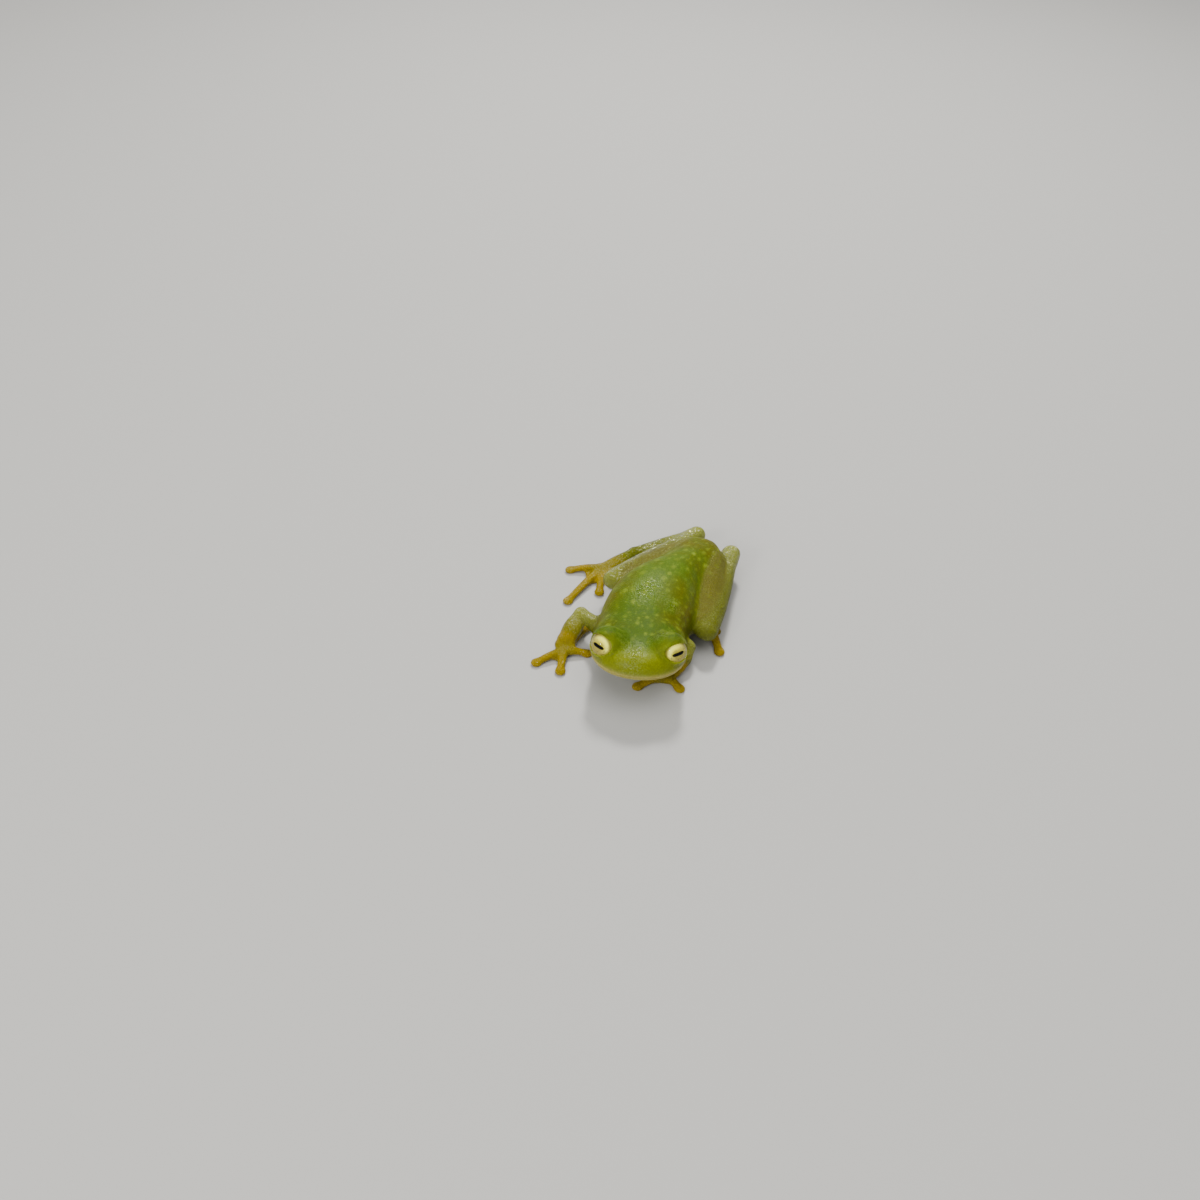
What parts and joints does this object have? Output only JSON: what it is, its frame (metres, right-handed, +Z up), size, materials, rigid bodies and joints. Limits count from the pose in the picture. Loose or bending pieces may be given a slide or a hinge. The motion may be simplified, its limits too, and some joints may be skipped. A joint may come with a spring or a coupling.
{
  "type": "glass frog",
  "caption": "Life-size still model of a small glass frog crouching with folded hind legs, spread fingers and toes with round discs, and forward-looking eyes.",
  "frame": {"origin": "on the floor, at the middle of the flat of the belly", "axes": "+Z up, the trunk's rear lies along +Y and the frog faces -Y with its head turned towards its left, which is +X"},
  "size_m": [0.0227, 0.0291, 0.008],
  "materials": {
    "back": "moist, finely granular translucent skin, leaf green with pale yellow-green round spots",
    "throat": "moist, smooth, pale translucent skin of the throat and belly",
    "limb": "moist, translucent pale green skin with lighter edges",
    "digit": "moist, translucent amber-yellow skin of the fingers, toes and webs",
    "iris": "wet, clear cornea over a pale cream iris with a horizontal black pupil"
  },
  "bodies": {
    "root": {"head": "back", "lower_jaw": "throat", "torso": "back", "eye_right": "iris", "eye_left": "iris", "upper_arm_right": "limb", "forearm_right": "limb", "hand_right": "digit", "upper_arm_left": "limb", "forearm_left": "limb", "hand_left": "digit", "thigh_right": "limb", "shank_right": "limb", "tarsus_right": "limb", "foot_right": "digit", "thigh_left": "limb", "shank_left": "limb", "tarsus_left": "limb", "foot_left": "digit"}
  },
  "joints": []
}
